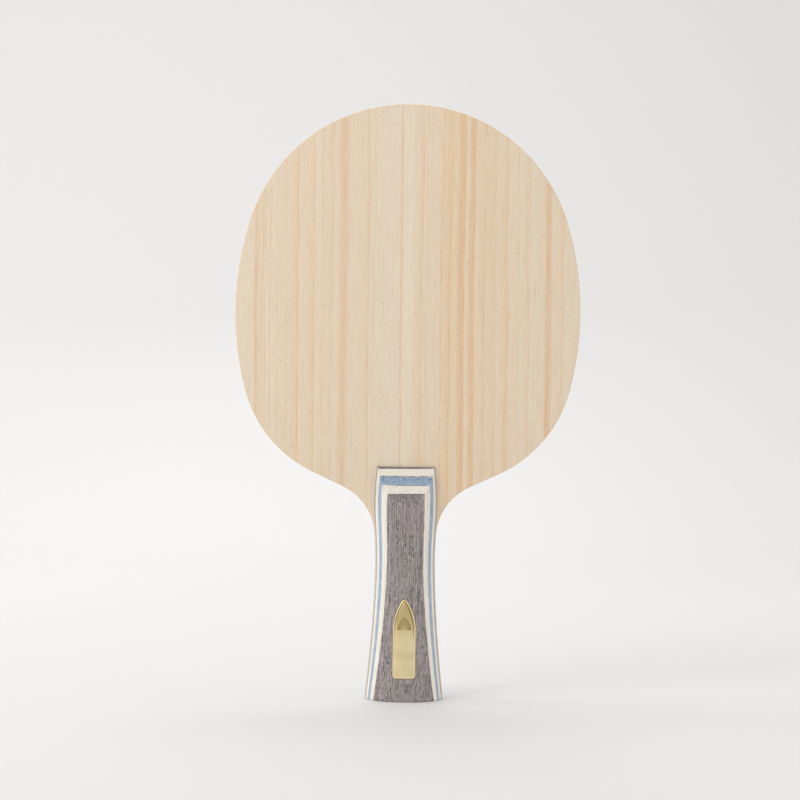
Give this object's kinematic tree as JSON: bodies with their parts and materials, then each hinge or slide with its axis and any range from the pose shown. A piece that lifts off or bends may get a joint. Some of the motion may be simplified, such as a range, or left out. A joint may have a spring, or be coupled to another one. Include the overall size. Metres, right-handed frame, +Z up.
{
  "type": "table tennis paddle",
  "caption": "Bare table tennis blade: an oval laminated wooden head on a flared handle of grey, cream and blue veneers, with a pointed metal badge set in the front.",
  "frame": {"origin": "centre of the handle's flat end, at the middle of the blade's thickness", "axes": "+Z up the handle to the tip of the head, -Y out of the front face that carries the badge, +X to the right of someone who faces the front"},
  "size_m": [0.15, 0.0266, 0.2584],
  "materials": {
    "face_veneer_wood": "matte",
    "inner_veneer_wood": "matte",
    "core_wood": "matte",
    "fibre_cloth": "satin",
    "grey_dyed_wood": "satin",
    "cream_wood": "satin",
    "blue_dyed_wood": "satin",
    "badge_metal": "satin",
    "adhesive_foam": "matte"
  },
  "bodies": {
    "root": {"front_face_veneer": "face_veneer_wood", "front_fibre_layer": "fibre_cloth", "front_inner_veneer": "inner_veneer_wood", "core_ply": "core_wood", "back_inner_veneer": "inner_veneer_wood", "back_fibre_layer": "fibre_cloth", "back_face_veneer": "face_veneer_wood", "front_handle_base_veneer": "grey_dyed_wood", "front_handle_outer_cream_veneer": "cream_wood", "front_handle_blue_veneer": "blue_dyed_wood", "front_handle_inner_cream_veneer": "cream_wood", "front_handle_crown": "grey_dyed_wood", "back_handle_base_veneer": "grey_dyed_wood", "back_handle_outer_cream_veneer": "cream_wood", "back_handle_blue_veneer": "blue_dyed_wood", "back_handle_inner_cream_veneer": "cream_wood", "back_handle_crown": "grey_dyed_wood", "badge_adhesive_pad": "adhesive_foam", "badge": "badge_metal"}
  },
  "joints": []
}
